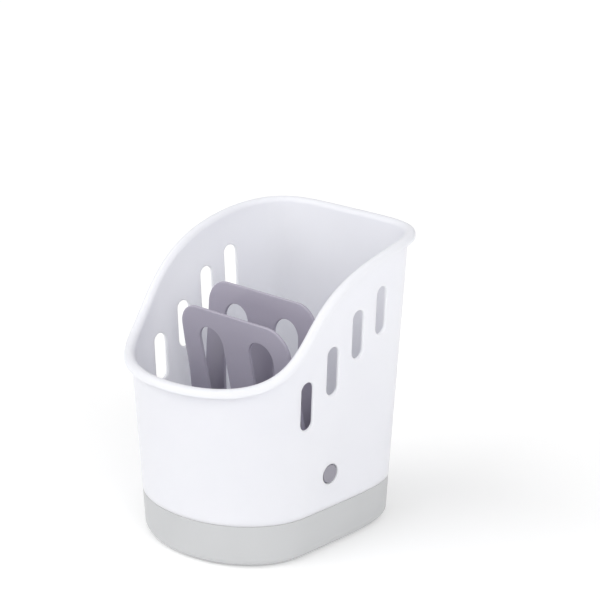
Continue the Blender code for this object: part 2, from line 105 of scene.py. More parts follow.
# The sponge holder: a flat sheet with rounded panels, folded into a trough.
SHEET, SHEET_EDGE = 2.0, 0.7
TROUGH_R, CHANNEL, BEND, OPEN_DEG = 7.0, 23.0, 14.0, 6.5
FRONT_TOP, REAR_TOP = 101.3, 108.7     # lengths of the panels from the middle of the sheet
HALF_SHEET_LOW, HALF_SHEET_TOP = 50.6, 46.3
PANEL_CORNER_R = 16.0
PANEL_SLOT_X, PANEL_SLOT_R, PANEL_SLOT_ROUND = 21.4, 10.15, 0.5
PANEL_SLOT_LOW, PANEL_SLOT_BELOW_TOP = 24.0, 12.1
TROUGH_SLOT_XS = (-26.0, 0.0, 26.0)
TROUGH_SLOT_LENGTH, TROUGH_SLOT_WIDTH, TROUGH_SLOT_ROUND = 14.0, 5.0, 0.35

# The side margins curl inwards by CURL_TURN radians, less and less at their two ends.
CURL_R, CURL_TURN, CURL_EXTRA = 8.0, 0.5, 0.8
CURL_LOW, CURL_FULL = 36.0, 55.0
CURL_BELOW_TOP, CURL_FADE = 14.0, 28.0
MARGIN_CUT_X, MARGIN_CUT_STEP, MARGIN_CUTS = 44.3, 0.4, 12   # lines cut in the curled margin

# The web and the boss that close each end of the trough.
WEB_OUT, WEB_LOW, WEB_TOP = 49.3, 17.0, 44.0
WEB_TAPER = 0.026                      # the web steps in with height as the panels narrow
WEB_HORN, WEB_HORN_LOW, WEB_HORN_TOP, WEB_SCOOP = 14.0, 0.3, 1.0, 0.9
WEB_FACES = ((2.3, 0.35), (1.95, 0.0), (0.65, 0.0), (0.3, 0.35))  # (in from the end, lowered)
WEB_LOWERED_ABOVE = 8.0
BOSS_START_X, BOSS_NECK_X, BOSS_FULL_X, BOSS_END_X = 46.2, 47.6, 48.2, 59.0
BOSS_R_IN, BOSS_NECK_IN, BOSS_EDGE = 0.15, 0.9, 0.5
BORE_END_X, BORE_PAST_END = 49.0, 2.0

# ---------------------------------------------------------------- how fine

PLAN_STEPS = 132       # segments on each half of the outline
WALL_ROWS = 26         # rows up each wall
LIP_STEPS = 20
ROUND_STEPS = 5
TRAY_ROWS = 6
TURNED_STEPS, FOOT_STEPS, BORE_STEPS = 64, 48, 48
WEB_STEPS = 24
CORNER_WEIGHT = 25.0                         # how much closer the outline's points are in a bend
CREASE_DEG = 40.0                            # sharper edges than this stay sharp
MERGE_WITHIN = 0.002                         # points closer than this are merged
SLIVER_WITHIN = 0.0005                       # edges shorter than this are dropped
SPACING_STEPS, SPACING_Z = 8000, 90.0        # the fine outline that the points are spaced on
SPACING_BEND = 0.5                           # the most that one of its bends counts

# ---------------------------------------------------------------- materials

# Scales are the number of features in a metre.
BROAD_SCALE, GRAIN_SCALE, GRIT_SCALE, RUBBER_SCALE = 14.0, 900.0, 2200.0, 60.0
FLOW_SCALE = (60.0, 60.0, 6.0)
SCUFF_SCALE, SCUFF_TURN = (700.0, 40.0, 700.0), (0.5, 0.2, 0.9)
SCUFF_START, SCUFF_END, SCUFF_DULL = 0.70, 0.78, 0.06
GRAIN_DEPTH, GRIT_DEPTH = 0.00006, 0.00008
WAVE_STRENGTH, WAVE_DEPTH = 0.12, 0.0004
PLASTIC_IOR, SCATTER_DEPTH = 1.49, 0.006

# ---------------------------------------------------------------- stage

CAMERA_AT = (0.7371, -0.7180, 0.4674)
CAMERA_AZIMUTH, CAMERA_ELEVATION, CAMERA_ROLL = 44.435, 17.504, -0.094
CAMERA_LENS, CAMERA_SENSOR = 107.56, 36.0
CAMERA_NEAR, CAMERA_FAR = 0.01, 50.0
WORLD_STRENGTH, FLOOR_GLOW = 0.55, 0.15
FLOOR_HALF = 6000.0                    # millimetres, as the floor goes through add_object
SUNS = (                               # name, where it comes from, strength, spread in degrees
    ("overhead", (0.15, -0.10, 1.0), 0.10, 50.0),
    ("key", (-0.42, -0.75, 0.72), 1.08, 60.0),
    ("fill", (0.90, -0.35, 0.50), 0.98, 50.0))


# ---------------------------------------------------------------- plan outline

def plan_point(turn, z, offset=0.0):
    """Point of the right-hand half outline at height z, moved out by offset.

    turn runs from 0 at the front centre through 1 at the widest place to 2 at the back.
    """
    half = HALF_WIDTH + SIDE_DRAFT * z
    if turn <= 1.0:
        reach = FRONT_REACH + WIDEST_Y + FRONT_DRAFT * z
        power, angle, sign = FRONT_POWER, (1.0 - turn) * math.pi / 2, -1.0
    else:
        reach = BACK_REACH - WIDEST_Y + BACK_DRAFT * z
        power, angle, sign = BACK_POWER, (turn - 1.0) * math.pi / 2, 1.0
    across = max(math.cos(angle), 0.0) ** (2.0 / power)
    along = max(math.sin(angle), 0.0) ** (2.0 / power)
    normal = Vector((across ** (power - 1) / half, sign * along ** (power - 1) / reach))
    normal.normalize()
    point = Vector((half * across, WIDEST_Y + sign * reach * along))
    return point + normal * offset


def plan_turns(steps):
    """Values of turn that space the outline evenly, closer together in tight curves."""
    count = SPACING_STEPS
    fine = [2.0 * i / count for i in range(count + 1)]
    points = [plan_point(t, SPACING_Z) for t in fine]
    run = [0.0]
    heading = None
    for before, after in zip(points, points[1:]):
        step = after - before
        new = math.atan2(step.y, step.x)
        bend = 0.0 if heading is None else abs(new - heading)
        heading = new
        run.append(run[-1] + step.length + CORNER_WEIGHT * min(bend, SPACING_BEND))
    turns = []
    at = 0
    for i in range(steps + 1):
        goal = run[-1] * i / steps
        while at < count - 1 and run[at + 1] < goal:
            at += 1
        share = (goal - run[at]) / max(run[at + 1] - run[at], 1e-9)
        turns.append(fine[at] + (fine[at + 1] - fine[at]) * min(max(share, 0.0), 1.0))
    turns[0], turns[-1] = 0.0, 2.0
    return turns


def rim_height(y):
    """Height of the rim's top edge above the floor at depth y."""
    low, high, t = 0.0, 1.0, 0.0
    (y0, z0), (y1, z1), (y2, z2), (y3, z3) = RIM_SWEEP
    y = min(max(y, y0), y3)
    for _ in range(40):
        t = (low + high) / 2
        at = y0 * (1 - t) ** 3 + 3 * y1 * t * (1 - t) ** 2 + 3 * y2 * t * t * (1 - t) + y3 * t ** 3
        low, high = (t, high) if at < y else (low, t)
    return z0 * (1 - t) ** 3 + 3 * z1 * t * (1 - t) ** 2 + 3 * z2 * t * t * (1 - t) + z3 * t ** 3


def rim_columns(turns):
    """For each turn: the rim's height there, and how much its slope stretches the lip."""
    heights = []
    for turn in turns:
        z = 150.0
        for _ in range(8):
            z = rim_height(plan_point(turn, z).y)
        heights.append(z)
    stretches = []
    for i in range(len(turns)):
        a, b = max(i - 1, 0), min(i + 1, len(turns) - 1)
        run = (plan_point(turns[b], heights[b]) - plan_point(turns[a], heights[a])).length
        slope = (heights[b] - heights[a]) / run
        stretches.append(math.sqrt(1.0 + slope * slope))
    return heights, stretches


# ---------------------------------------------------------------- mesh helpers

def solid(loops):
    """Closed bmesh through equal loops of points, with a flat face on each end."""
    bm = bmesh.new()
    rings = [[bm.verts.new(p) for p in loop] for loop in loops]
    count = len(rings[0])
    for lower, upper in zip(rings, rings[1:]):
        for i in range(count):
            j = (i + 1) % count
            bm.faces.new((lower[i], lower[j], upper[j], upper[i]))
    bm.faces.new(list(reversed(rings[0])))
    bm.faces.new(rings[-1])
    return bm


def loft(turns, columns):
    """Closed body from columns of (offset, z) pairs, one for each turn, mirrored in X = 0."""
    loops = []
    for row in range(len(columns[0])):
        loop = []
        for turn, column in zip(turns, columns):
            offset, z = column[row]
            point = plan_point(turn, z, offset)
            loop.append((point.x if 0.0 < turn < 2.0 else 0.0, point.y, z))
        loop += [(-x, y, z) for x, y, z in reversed(loop[1:-1])]
        loops.append(loop)
    return solid(loops)


def add_object(name, bm):
    """A bmesh in millimetres becomes an object in metres, with its faces outwards."""
    bmesh.ops.recalc_face_normals(bm, faces=bm.faces)
    bmesh.ops.scale(bm, vec=(MM, MM, MM), verts=bm.verts)
    mesh = bpy.data.meshes.new(name)
    bm.to_mesh(mesh)
    bm.free()
    obj = bpy.data.objects.new(name, mesh)
    bpy.context.scene.collection.objects.link(obj)
    return obj


def joined(name, parts):
    """Several bmeshes that don't touch, as one object."""
    whole = bmesh.new()
    for part in parts:
        bmesh.ops.recalc_face_normals(part, faces=part.faces)
        mesh = bpy.data.meshes.new("part")
        part.to_mesh(mesh)
        part.free()
        whole.from_mesh(mesh)
        bpy.data.meshes.remove(mesh)
    return add_object(name, whole)


def combine(target, tool, operation):
    """Apply one boolean tool to the target, then throw the tool away."""
    step = target.modifiers.new("cut", "BOOLEAN")
    step.operation = operation
    step.solver = "EXACT"
    step.object = tool
    bpy.context.view_layer.update()
    graph = bpy.context.evaluated_depsgraph_get()
    result = bpy.data.meshes.new_from_object(target.evaluated_get(graph))
    target.modifiers.clear()
    target.data = result
    bpy.data.objects.remove(tool)
    return target


def merge_slivers(obj):
    """Merge the points that booleans leave almost in one place, and drop empty faces."""
    bm = bmesh.new()
    bm.from_mesh(obj.data)
    bmesh.ops.remove_doubles(bm, verts=bm.verts, dist=MERGE_WITHIN * MM)
    bmesh.ops.dissolve_degenerate(bm, edges=bm.edges, dist=SLIVER_WITHIN * MM)
    bm.to_mesh(obj.data)
    bm.free()


def arc(start, end, steps):
    """Angles in radians from start to end degrees, both included."""
    return [math.radians(start + (end - start) * i / steps) for i in range(steps + 1)]


def stadium(length, width, steps):
    """Upright stadium outline (a, b), with round ends above and below."""
    r = width / 2
    straight = length / 2 - r
    points = [(r * math.cos(a), straight + r * math.sin(a)) for a in arc(0, 180, steps)]
    return points + [(-a, -b) for a, b in points]


def circle(radius, steps):
    """Circle outline (a, b)."""
    return [(radius * math.cos(2 * math.pi * i / steps), radius * math.sin(2 * math.pi * i / steps))
            for i in range(steps)]


def turned(profile, steps):
    """Solid of revolution about X from (x, radius) pairs between its two flat ends."""
    return solid([[(x, a, b) for a, b in circle(r, steps)] for x, r in profile])


def flare(thickness, rounding, steps):
    """(depth, grow) pairs of a cutter whose sides round the edge on both faces.

    depth is 0 on the first face and -thickness on the second; grow widens the outline.
    """
    pairs = [(rounding * 3, rounding)]
    pairs += [(-rounding * (1 - math.cos(a)), rounding * (1 - math.sin(a)))
              for a in arc(0, 90, steps)]
    return pairs + [(-thickness - depth, grow) for depth, grow in reversed(pairs)]


# ---------------------------------------------------------------- basket shell

def shell_column(height, stretch):
    """One column of the basket shell, from its underside over the lip to its floor."""
    column = []
    for a in arc(0, 90, ROUND_STEPS):
        column.append((-NEST_IN - SKIRT_ROUND * (1 - math.sin(a)),
                       SKIRT_BOTTOM_Z + SKIRT_ROUND * (1 - math.cos(a))))
    column.append((-NEST_IN, SHOULDER_Z - NEST_BREAK))
    column.append((-NEST_IN + NEST_BREAK, SHOULDER_Z))
    for a in arc(-90, 0, ROUND_STEPS):
        column.append((-SHOULDER_BREAK * (1 - math.cos(a)),
                       SHOULDER_Z + SHOULDER_BREAK * (1 + math.sin(a))))
    low, root = SHOULDER_Z + SHOULDER_BREAK, height - GROOVE_LOW * stretch
    for i in range(1, WALL_ROWS + 1):
        column.append((0.0, low + (root - low) * i / WALL_ROWS))
    groove = LIP_OUT - LIP_SKIRT
    for a in arc(180, 0, 2 * ROUND_STEPS):
        column.append((groove / 2 + groove / 2 * math.cos(a),
                       height - (GROOVE_LOW - GROOVE_RISE * math.sin(a)) * stretch))
    tip = LIP_SKIRT / 2
    tip_high = tip * LIP_TIP_SQUASH
    for a in arc(180, 360, 2 * ROUND_STEPS):
        column.append((LIP_OUT - tip + tip * math.cos(a),
                       height - (LIP_DROP - tip_high - tip_high * math.sin(a)) * stretch))
    radius = (LIP_OUT + WALL) / 2
    for a in arc(0, 180, LIP_STEPS):
        column.append((LIP_OUT - radius + radius * math.cos(a),
                       height - radius * stretch * (1 - math.sin(a))))
    high, ledge = height - radius * stretch, SHOULDER_Z + LEDGE_ABOVE_SHOULDER
    for i in range(1, WALL_ROWS + 1):
        column.append((-WALL, high + (ledge - high) * i / WALL_ROWS))
    inner = NEST_IN + WALL
    for share in (0.25, 0.5, 0.75, 1.0):
        ease = share * share * (3 - 2 * share)
        column.append((-WALL - NEST_IN * ease, ledge - LEDGE_DROP * share))
    for a in arc(0, 90, ROUND_STEPS):
        column.append((-inner - INNER_ROUND * (1 - math.cos(a)),
                       FLOOR_Z + INNER_ROUND * (1 - math.sin(a))))
    return column


def wall_frame(y, z):
    """Outer-wall point at (y, z) on the right side, its outward normal and two wall axes."""
    def at(yy, zz):
        low, high = 0.0, 2.0
        for _ in range(50):
            mid = (low + high) / 2
            low, high = (mid, high) if plan_point(mid, zz).y < yy else (low, mid)
        return Vector((plan_point(low, zz).x, yy, zz))
    back = (at(y + 1, z) - at(y - 1, z)).normalized()
    up = (at(y, z + 1) - at(y, z - 1)).normalized()
    return at(y, z), back.cross(up).normalized(), back, up


def wall_cutter(y, z, outline_at, rounding, side):
    """Cutter through the side wall that rounds the edge on both faces."""
    centre, out, back, up = wall_frame(y, z)
    loops = []
    for depth, grow in flare(WALL, rounding, ROUND_STEPS):
        loop = []
        for a, b in outline_at(grow):
            p = centre + out * depth + back * a + up * b
            loop.append((p.x * side, p.y, p.z))
        loops.append(loop)
    return solid(loops)


def inside_floor(x, y, margin):
    """True where (x, y) lies inside the floor with the margin to spare."""
    inset = NEST_IN + WALL + INNER_ROUND + margin
    half = HALF_WIDTH - inset
    reach = FRONT_REACH + WIDEST_Y - inset if y < WIDEST_Y else BACK_REACH - WIDEST_Y - inset
    power = FRONT_POWER if y < WIDEST_Y else BACK_POWER
    return abs(x / half) ** power + abs((y - WIDEST_Y) / reach) ** power < 1.0


def drain_spots():
    """Centres of the floor's drain holes: staggered rows that stay clear of the wall."""
    spots = []
    for row in range(-3, 5):
        y = row * DRAIN_PITCH_Y + DRAIN_START_Y
        shift = DRAIN_PITCH_X / 2 if row % 2 else 0.0
        for k in range(-3, 4):
            x = k * DRAIN_PITCH_X + shift
            if inside_floor(x, y, DRAIN_R + DRAIN_MARGIN):
                spots.append((x, y))
    return spots


def make_basket():
    """The white tub, with its side slots, pin holes and drain holes cut through."""
    turns = plan_turns(PLAN_STEPS)
    heights, stretches = rim_columns(turns)
    shell = add_object("basket_shell_fine", loft(
        turns, [shell_column(h, s) for h, s in zip(heights, stretches)]))
    cutters = []
    ends = 6 * ROUND_STEPS
    for side in (1, -1):
        for i, z in enumerate(SLOT_CENTRES_Z):
            cutters.append(wall_cutter(
                SLOT_FIRST_Y + i * SLOT_PITCH, z,
                lambda grow: stadium(SLOT_LENGTH + 2 * grow, SLOT_WIDTH + 2 * grow, ends),
                SLOT_ROUND, side))
        cutters.append(wall_cutter(
            PIVOT_Y, PIVOT_Z, lambda grow: circle(PIN_HOLE_R + grow, 2 * ends),
            PIN_HOLE_ROUND, side))
    thickness = FLOOR_Z - SKIRT_BOTTOM_Z
    for x, y in drain_spots():
        cutters.append(solid([
            [(x + a, y + b, FLOOR_Z + depth) for a, b in circle(DRAIN_R + grow, ends)]
            for depth, grow in flare(thickness, DRAIN_ROUND, 3)]))
    return combine(shell, joined("wall_cutters", cutters), "DIFFERENCE")


# ---------------------------------------------------------------- drip tray and feet

def tray_column():
    """One column of the drip tray, from its underside over the edge to its floor."""
    column = []
    for a in arc(0, 90, 2 * ROUND_STEPS):
        column.append((-TRAY_FOOT_IN * (1 - math.sin(a)),
                       TRAY_UNDER_Z + TRAY_FOOT_UP * (1 - math.cos(a))))
    low, high = TRAY_UNDER_Z + TRAY_FOOT_UP, TRAY_TOP_Z - TRAY_EDGE
    for i in range(1, TRAY_ROWS):
        column.append((0.0, low + (high - low) * i / TRAY_ROWS))
    for a in arc(0, 90, ROUND_STEPS + 1):
        column.append((-TRAY_EDGE * (1 - math.cos(a)), high + TRAY_EDGE * math.sin(a)))
    for a in arc(90, 180, ROUND_STEPS):
        column.append((-TRAY_WALL + TRAY_INNER_EDGE * (1 + math.cos(a)),
                       TRAY_TOP_Z - TRAY_INNER_EDGE * (1 - math.sin(a))))
    low, high = TRAY_FLOOR_Z + TRAY_INNER_ROUND, TRAY_TOP_Z - TRAY_INNER_EDGE
    for i in range(1, TRAY_ROWS):
        column.append((-TRAY_WALL, high + (low - high) * i / TRAY_ROWS))
    for a in arc(0, 90, ROUND_STEPS + 1):
        column.append((-TRAY_WALL - TRAY_INNER_ROUND * (1 - math.cos(a)),
                       TRAY_FLOOR_Z + TRAY_INNER_ROUND * (1 - math.sin(a))))
    return column


def rounded_bar(low, high, rounding):
    """Upright-sided bar with its top edges rounded."""
    (x0, y0, z0), (x1, y1, z1) = low, high
    loops = [(0.0, z0)] + [(rounding * (1 - math.cos(a)), z1 - rounding * (1 - math.sin(a)))
                           for a in arc(0, 90, ROUND_STEPS)]
    return solid([[(x0 + i, y0 + i, z), (x1 - i, y0 + i, z), (x1 - i, y1 - i, z),
                   (x0 + i, y1 - i, z)] for i, z in loops])


def foot_spots():
    """Centre of each foot, read from its CAD node."""
    spots = {}
    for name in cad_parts:
        if name.startswith("foot_"):
            low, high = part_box(name)
            spots[name] = ((low[0] + high[0]) / 2 / MM, (low[1] + high[1]) / 2 / MM)
    return spots


def make_tray():
    """The drip tray, with three ribs on its floor and a pocket under it for each foot."""
    turns = plan_turns(PLAN_STEPS)
    tray = add_object("drip_tray_fine", loft(turns, [tray_column() for _ in turns]))
    ribs = joined("ribs", [
        rounded_bar((x - RIB_THICK / 2, RIB_FRONT_Y, TRAY_FLOOR_Z - RIB_SINK),
                    (x + RIB_THICK / 2, RIB_BACK_Y, RIB_TOP_Z), RIB_ROUND) for x in RIB_XS])
    combine(tray, ribs, "UNION")
    pockets = []
    for x, y in foot_spots().values():
        rings = [(TRAY_UNDER_Z - POCKET_PAST, POCKET_BREAK), (TRAY_UNDER_Z, POCKET_BREAK),
                 (TRAY_UNDER_Z + POCKET_BREAK, 0.0), (TRAY_UNDER_Z + FOOT_SINK, 0.0)]
        pockets.append(solid([
            [(x + a, y + b, z) for a, b in circle(FOOT_R + POCKET_GAP + grow, FOOT_STEPS)]
            for z, grow in rings]))
    return combine(tray, joined("pockets", pockets), "DIFFERENCE")


def make_feet():
    """The four feet, each by the name of its CAD node."""
    rings = [(0.0, FOOT_R - FOOT_RING), (0.0, FOOT_R - FOOT_EDGE)]
    rings += [(FOOT_EDGE_UP * (1 - math.cos(a)), FOOT_R - FOOT_EDGE + FOOT_EDGE * math.sin(a))
              for a in arc(15, 90, 5)]
    rings += [(FOOT_HEIGHT - FOOT_TOP_BREAK, FOOT_R), (FOOT_HEIGHT, FOOT_R - FOOT_TOP_BREAK)]
    feet = {}
    for name, (x, y) in foot_spots().items():
        feet[name] = add_object(name + "_fine", solid(
            [[(x + a, y + b, z) for a, b in circle(r, FOOT_STEPS)] for z, r in rings]))
    return feet


# ---------------------------------------------------------------- sponge holder

def curl_turn(s):
    """Angle by which the side margins are turned in, fading out at their top and bottom."""
    top = FRONT_TOP if s < 0 else REAR_TOP
    low = min(max((abs(s) - CURL_LOW) / (CURL_FULL - CURL_LOW), 0.0), 1.0)
    high = min(max((top - CURL_BELOW_TOP - abs(s)) / CURL_FADE, 0.0), 1.0)
    return CURL_TURN * low * low * (3 - 2 * low) * high * high * (3 - 2 * high)


def half_width(s):
    """Half the width of the flat sheet at s: it tapers, and is wider where it curls."""
    side_end = (FRONT_TOP if s < 0 else REAR_TOP) - PANEL_CORNER_R
    base = HALF_SHEET_LOW + (HALF_SHEET_TOP - HALF_SHEET_LOW) * min(abs(s) / side_end, 1.0)
    return base + CURL_EXTRA * curl_turn(s) / CURL_TURN


def fold(x, s, depth):
    """Place a point of the flat sheet on the folded holder.

    s is the distance along the outside of the sheet from the bottom of the trough, minus
    to the front and plus to the rear; depth is the distance inwards from the outside.
    """
    crease = half_width(s) - CURL_R * curl_turn(s)
    if abs(x) > crease:
        curled = (abs(x) - crease) / CURL_R
        x = math.copysign(crease + (CURL_R - depth) * math.sin(curled), x)
        depth = CURL_R - (CURL_R - depth) * math.cos(curled)
    side = -1.0 if s < 0 else 1.0
    run = abs(s)
    quarter = TROUGH_R * math.pi / 2
    opening = math.radians(OPEN_DEG)
    radius = BEND / opening
    if run <= quarter:
        angle = run / TROUGH_R
        reach = TROUGH_R - depth
        return x, side * reach * math.sin(angle), -reach * math.cos(angle)
    run -= quarter
    if run <= CHANNEL:
        return x, side * (TROUGH_R - depth), run
    run -= CHANNEL
    heading = min(run / BEND, 1.0) * opening
    beyond = max(run - BEND, 0.0)
    out = TROUGH_R + radius * (1 - math.cos(heading)) + beyond * math.sin(heading)
    up = CHANNEL + radius * math.sin(heading) + beyond * math.cos(heading)
    return x, side * (out - depth * math.cos(heading)), up + depth * math.sin(heading)


def sheet_outline(steps):
    """Outline of the flat sheet in (x, s): two tapered panels with rounded outer corners."""
    r = PANEL_CORNER_R
    right = []
    for sign, top in ((-1, FRONT_TOP), (1, REAR_TOP)):
        corner = [(HALF_SHEET_TOP - r + r * math.sin(a), sign * (top - r + r * math.cos(a)))
                  for a in arc(0, 90, steps)]
        for i in range(1, 3 * steps + 1):
            s = top - r + (CURL_LOW - top + r) * i / (3 * steps)
            corner.append((half_width(sign * s), sign * s))
        right += corner if sign < 0 else corner[::-1]
    return right + [(-x, s) for x, s in reversed(right)]


def sheet_cutters():
    """Cutters for the two slots in each panel and the three in the trough."""
    cutters = []
    steps = 5 * ROUND_STEPS
    for sign, top in ((-1, FRONT_TOP), (1, REAR_TOP)):
        upper = top - PANEL_SLOT_BELOW_TOP
        middle = sign * (upper + PANEL_SLOT_LOW) / 2
        for x in (-PANEL_SLOT_X, PANEL_SLOT_X):
            loops = []
            for depth, grow in flare(SHEET, PANEL_SLOT_ROUND, ROUND_STEPS):
                loop = stadium(upper - PANEL_SLOT_LOW + 2 * grow, 2 * (PANEL_SLOT_R + grow), steps)
                loops.append([(x + a, middle + b, -depth) for a, b in loop])
            cutters.append(solid(loops))
    for x in TROUGH_SLOT_XS:
        loops = []
        for depth, grow in flare(SHEET, TROUGH_SLOT_ROUND, ROUND_STEPS):
            loop = stadium(TROUGH_SLOT_LENGTH + 2 * grow, TROUGH_SLOT_WIDTH + 2 * grow,
                           2 * ROUND_STEPS)
            loops.append([(x + b, a, -depth) for a, b in loop])
        cutters.append(solid(loops))
    return cutters


def fold_sheet(holder):
    """Cut lines in the flat sheet where it bends, then fold it into the holder's shape."""
    quarter = TROUGH_R * math.pi / 2
    lines = [quarter * i / 12 for i in range(13)]
    lines += [quarter + CHANNEL + BEND * i / 6 for i in range(7)]
    lines += [CURL_LOW + (CURL_FULL - CURL_LOW) * i / 9 for i in range(10)]
    along, across = Vector((0, 1, 0)), Vector((1, 0, 0))
    cuts = []
    for s in lines:
        cuts += [(along * s, along), (along * -s, along)]
    for sign, top in ((-1, FRONT_TOP), (1, REAR_TOP)):
        cuts += [(along * (sign * (top - CURL_BELOW_TOP - CURL_FADE * i / 10)), along)
                 for i in range(11)]
    for i in range(MARGIN_CUTS):
        cuts += [(across * (side * (MARGIN_CUT_X + MARGIN_CUT_STEP * i)), across)
                 for side in (1, -1)]
    bm = bmesh.new()
    bm.from_mesh(holder.data)
    for place, normal in cuts:
        everything = bm.verts[:] + bm.edges[:] + bm.faces[:]
        bmesh.ops.bisect_plane(bm, geom=everything, dist=1e-7, plane_co=place * MM,
                               plane_no=normal)
    for vert in bm.verts:
        x, s, depth = (value / MM for value in vert.co)
        vert.co = Vector(fold(x, s, depth)) * MM
    bm.to_mesh(holder.data)
    bm.free()


def end_web(side):
    """Web that closes one end of the channel, with a scooped top between the panels."""
    mid = TROUGH_R - SHEET / 2
    horn_foot = WEB_TOP - WEB_HORN
    outline = [(mid * math.cos(a), mid * math.sin(a)) for a in arc(0, -180, WEB_STEPS)]
    outline += [(-mid - WEB_HORN_LOW, horn_foot), (-mid - WEB_HORN_TOP, WEB_TOP)]
    for i in range(1, WEB_STEPS):
        share = -1.0 + 2.0 * i / WEB_STEPS
        outline.append((share * (mid + WEB_SCOOP), WEB_LOW + (WEB_TOP - WEB_LOW) * share * share))
    outline += [(mid + WEB_HORN_TOP, WEB_TOP), (mid + WEB_HORN_LOW, horn_foot)]
    loops = []
    for inset, lowered in WEB_FACES:
        loop = []
        for back, up in outline:
            half = WEB_OUT - WEB_TAPER * max(up, 0.0) - inset
            loop.append((side * half, back, up - (lowered if up > WEB_LOWERED_ABOVE else 0.0)))
        loops.append(loop)
    return solid(loops)


def lean(obj):
    """Turn a piece modelled about the pivot to where it stands, with its origin on the axis."""
    obj.location = (0.0, PIVOT_Y * MM, PIVOT_Z * MM)
    obj.rotation_euler = (math.radians(HOLDER_LEAN_DEG), 0.0, 0.0)


def make_holder():
    """The sponge holder: the folded sheet, with a web, a boss and a bore at each end."""
    outline = sheet_outline(4 * ROUND_STEPS)
    rings = [(SHEET_EDGE * (1 - math.cos(a)), SHEET_EDGE * (1 - math.sin(a)))
             for a in arc(0, 90, ROUND_STEPS)]
    rings += [(SHEET - depth, inset) for depth, inset in reversed(rings)]
    loops = []
    for depth, inset in rings:
        loops.append([(x * (1 - inset / HALF_SHEET_TOP),
                       s * (1 - inset / (FRONT_TOP if s < 0 else REAR_TOP)), depth)
                      for x, s in outline])
    holder = add_object("sponge_holder_fine", solid(loops))
    combine(holder, joined("panel_slots", sheet_cutters()), "DIFFERENCE")
    fold_sheet(holder)
    boss_r, neck_r = TROUGH_R - BOSS_R_IN, TROUGH_R - BOSS_NECK_IN
    profile = [(BOSS_START_X, neck_r), (BOSS_NECK_X, neck_r), (BOSS_FULL_X, boss_r)]
    profile += [(BOSS_END_X - BOSS_EDGE + BOSS_EDGE * math.sin(a),
                 boss_r - BOSS_EDGE + BOSS_EDGE * math.cos(a)) for a in arc(0, 90, ROUND_STEPS)]
    for side in (1, -1):
        boss = turned([(side * x, r) for x, r in profile], TURNED_STEPS)
        combine(holder, add_object("web", end_web(side)), "UNION")
        combine(holder, add_object("boss", boss), "UNION")
    combine(holder, joined("bores", [
        turned([(side * BORE_END_X, PIN_BORE_R),
                (side * (BOSS_END_X + BORE_PAST_END), PIN_BORE_R)], BORE_STEPS)
        for side in (1, -1)]), "DIFFERENCE")
    merge_slivers(holder)
    lean(holder)
    return holder


def make_pin(name, side):
    """One pivot pin: a plug in the holder's boss, and a head with a dished face in the wall."""
    profile = [(PIN_END_X, PIN_PLUG_R - PIN_PLUG_BREAK), (PIN_END_X + PIN_PLUG_BREAK, PIN_PLUG_R),
               (PIN_HEAD_X, PIN_PLUG_R), (PIN_HEAD_X, PIN_HEAD_R - PIN_HEAD_BREAK),
               (PIN_HEAD_X + PIN_HEAD_BREAK, PIN_HEAD_R)]
    profile += [(PIN_FACE_X - PIN_EDGE + PIN_EDGE * math.sin(a),
                 PIN_HEAD_R - PIN_EDGE + PIN_EDGE * math.cos(a))
                for a in arc(0, 90, 2 * ROUND_STEPS)]
    profile += [(PIN_FACE_X - depth, PIN_HEAD_R - inset) for inset, depth in PIN_DISH]
    pin = add_object(name + "_fine", turned([(side * x, r) for x, r in profile], TURNED_STEPS))
    lean(pin)
    return pin


# ---------------------------------------------------------------- shaders

class Nodes:
    """Small helper that adds and links shader nodes."""

    def __init__(self, name):
        self.material = bpy.data.materials.new(name)
        self.material.use_nodes = True
        self.tree = self.material.node_tree
        self.shader = self.tree.nodes["Principled BSDF"]
        self.place = self.tree.nodes.new("ShaderNodeTexCoord").outputs["Object"]

    def node(self, kind, inputs=None, **values):
        made = self.tree.nodes.new(kind)
        for key, value in values.items():
            setattr(made, key, value)
        for key, value in (inputs or {}).items():
            if isinstance(value, bpy.types.NodeSocket):
                self.tree.links.new(value, made.inputs[key])
            else:
                made.inputs[key].default_value = value
        return made

    def noise(self, scale, detail=2.0, roughness=0.5):
        """Even noise, with the given number of features in a metre."""
        made = self.node("ShaderNodeTexNoise", {"Vector": self.place, "Scale": scale,
                                                "Detail": detail, "Roughness": roughness})
        return made.outputs["Fac"]

    def drawn_noise(self, scale, detail, turn=(0.0, 0.0, 0.0)):
        """Noise drawn out in one direction, with its own scale along each turned axis."""
        drawn = self.node("ShaderNodeMapping", {"Vector": self.place, "Rotation": turn,
                                                "Scale": scale}).outputs["Vector"]
        made = self.node("ShaderNodeTexNoise", {"Vector": drawn, "Scale": 1.0, "Detail": detail})
        return made.outputs["Fac"]

    def spread(self, fac, low, high, start=0.3, end=0.7):
        """Stretch the part of fac between start and end over low to high."""
        made = self.node("ShaderNodeMapRange", {"Value": fac, "From Min": start, "From Max": end,
                                                "To Min": low, "To Max": high})
        return made.outputs["Result"]

    def maths(self, operation, a, b):
        return self.node("ShaderNodeMath", {0: a, 1: b}, operation=operation).outputs["Value"]

    def tint(self, fac, low, high):
        made = self.node("ShaderNodeMix", data_type="RGBA")
        self.tree.links.new(fac, made.inputs["Factor"])
        made.inputs["A"].default_value = (*low, 1.0)
        made.inputs["B"].default_value = (*high, 1.0)
        return made.outputs["Result"]

    def link(self, output, name):
        self.tree.links.new(output, self.shader.inputs[name])

    def bump(self, height, strength, distance, normal=None):
        inputs = {"Height": height, "Strength": strength, "Distance": distance}
        if normal is not None:
            inputs["Normal"] = normal
        return self.node("ShaderNodeBump", inputs).outputs["Normal"]


